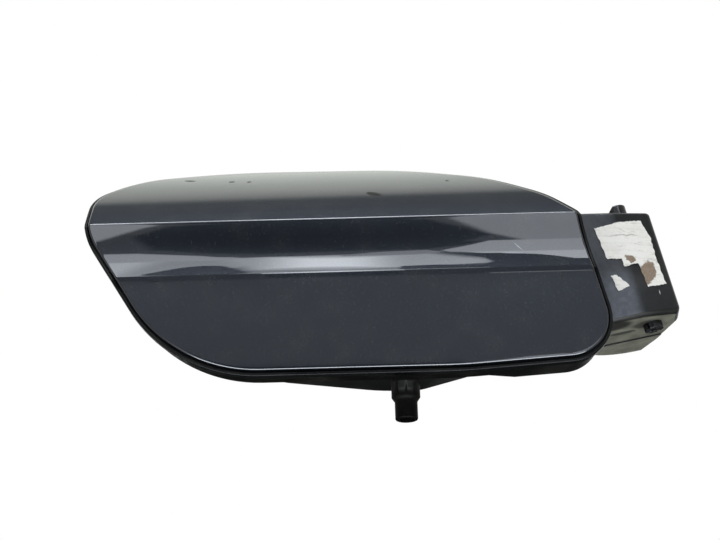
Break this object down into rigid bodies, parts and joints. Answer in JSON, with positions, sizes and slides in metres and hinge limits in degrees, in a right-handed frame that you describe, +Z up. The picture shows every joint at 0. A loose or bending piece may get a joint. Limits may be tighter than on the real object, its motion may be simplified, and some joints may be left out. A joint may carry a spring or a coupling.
{
  "type": "car fuel door",
  "caption": "Painted car fuel door, creased and coved, on a black filler housing with a gooseneck hinge arm in a side pocket, sliding lock bolt, neck gaiter and drain spout.",
  "frame": {"origin": "midway between the two neck screws, on the seat face of their bosses at the back of the housing", "axes": "+Z up and -Y outward as fitted on the car, +X towards the hinge"},
  "size_m": [0.277, 0.0689, 0.1258],
  "materials": {
    "door_skin": "dark charcoal metallic paint under clear coat",
    "bond_bead": "cured adhesive",
    "door_carrier": "fine grain",
    "door_buffers": "smooth",
    "door_catch": "smooth",
    "catch_screws": "zinc plated",
    "filler_housing": "fine grain, dusty",
    "rim_seal": "smooth",
    "neck_gaiter": "smooth",
    "hinge_pin": "smooth",
    "hinge_spring": "drawn wire",
    "lock_case": "fine grain",
    "lock_lid": "fine grain",
    "plug_blades": "tinned brass",
    "lock_bolt": "natural acetal",
    "bolt_guide": "smooth",
    "guide_seal": "smooth",
    "lock_screws": "zinc plated",
    "paper_label": "torn, stained",
    "paper_scrap": "torn"
  },
  "bodies": {
    "housing": {"filler_housing": "filler_housing", "rim_seal": "rim_seal", "neck_gaiter": "neck_gaiter", "hinge_pin": "hinge_pin", "hinge_spring": "hinge_spring", "lock_case": "lock_case", "lock_lid": "lock_lid", "lock_screws": "lock_screws", "plug_blades": "plug_blades", "bolt_guide": "bolt_guide", "guide_seal": "guide_seal", "paper_label": "paper_label", "paper_scrap": "paper_scrap"},
    "door": {"door_skin": "door_skin", "bond_bead": "bond_bead", "door_carrier": "door_carrier", "door_buffers": "door_buffers", "door_catch": "door_catch", "catch_screws": "catch_screws"},
    "bolt": {"lock_bolt": "lock_bolt"}
  },
  "joints": [
    {"name": "door_hinge", "type": "hinge", "parent": "housing", "child": "door", "pos_m": [0.11796, -0.034, 0.00463], "axis": [-0.1908, 0, 0.9816], "range_deg": [0, 85], "deforming": ["hinge_spring"]},
    {"name": "lock_slide", "type": "slide", "parent": "housing", "child": "bolt", "axis": [1, 0, 0], "range_m": [0, 0.011]}
  ]
}
